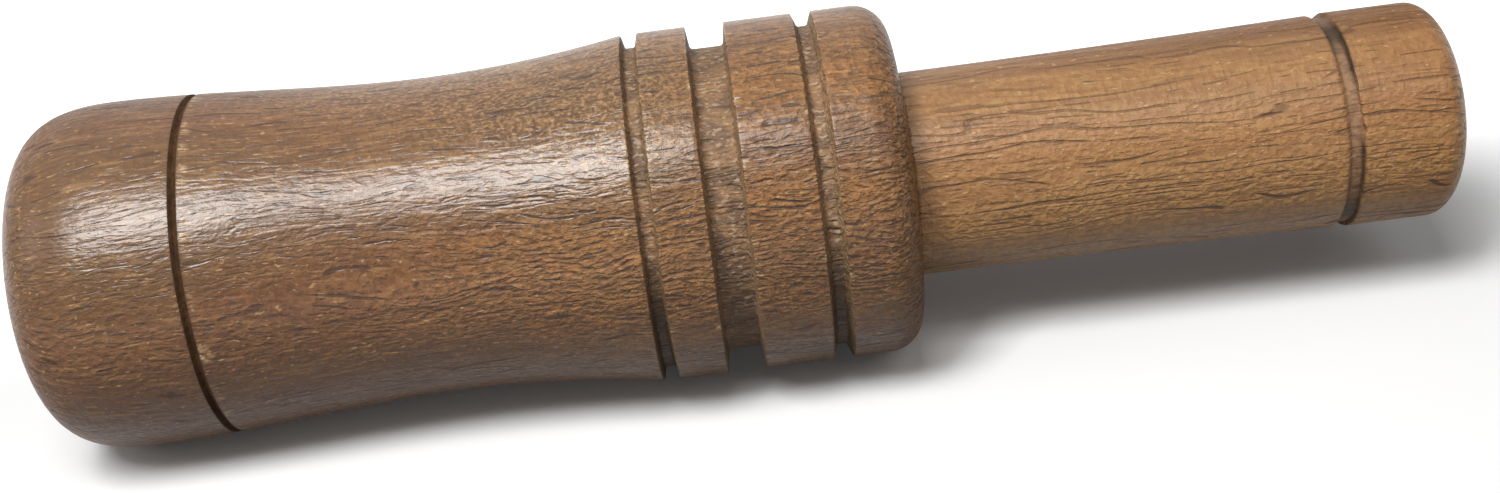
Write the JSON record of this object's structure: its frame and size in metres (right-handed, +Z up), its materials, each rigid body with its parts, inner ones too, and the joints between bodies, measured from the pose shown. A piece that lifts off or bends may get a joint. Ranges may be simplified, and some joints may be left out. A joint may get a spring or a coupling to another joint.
{
  "type": "bird call",
  "caption": "Turned wooden bird call: a waisted barrel with a grooved flange and a plug-in insert with exhaust bore, tone board, film reeds, cork wedge and seal rings.",
  "frame": {"origin": "centre of the bottom of the box around the call, on the plane that it lies on", "axes": "+X along the call from the mouth end to the exhaust end, +Z up, reeds facing up"},
  "size_m": [0.1418, 0.035, 0.035],
  "materials": {
    "barrel_wood": "satin lacquer over brown walnut, burned line",
    "stem_wood": "satin lacquer over paler straight-grained wood",
    "moulded_board": "moulded, satin",
    "reed_film": "smooth polyester film",
    "cork": "cut natural cork",
    "seal_rubber": "moulded, satin"
  },
  "bodies": {
    "barrel": {"barrel": "barrel_wood"},
    "seal_rings": {"front_ring": "seal_rubber", "rear_ring": "seal_rubber"},
    "insert": {"stem": "stem_wood", "tone_board": "moulded_board", "wedge": "cork", "lower_reed_heel": "reed_film", "upper_reed_heel": "reed_film"},
    "lower_reed": {"lower_reed_tongue": "reed_film"},
    "upper_reed": {"upper_reed_tongue": "reed_film"}
  },
  "joints": [
    {"name": "insert_pull", "type": "slide", "parent": "barrel", "child": "seal_rings", "axis": [1, 0, 0], "range_m": [0, 0.072]},
    {"name": "insert_turn", "type": "hinge", "parent": "seal_rings", "child": "insert", "pos_m": [0, 0, 0.0175], "axis": [1, 0, 0], "continuous": true},
    {"name": "lower_reed_flex", "type": "hinge", "parent": "insert", "child": "lower_reed", "pos_m": [-0.0138, 0, 0.0181], "axis": [0, 1, 0], "range_deg": [-1.1, 1], "stiffness_Nm_per_rad": 0.005},
    {"name": "upper_reed_flex", "type": "hinge", "parent": "insert", "child": "upper_reed", "pos_m": [-0.0138, 0, 0.0184], "axis": [0, 1, 0], "range_deg": [-1.1, 1], "stiffness_Nm_per_rad": 0.005}
  ],
  "couplings": [
    {"joint": "upper_reed_flex", "follows": "lower_reed_flex", "ratio": 1}
  ]
}
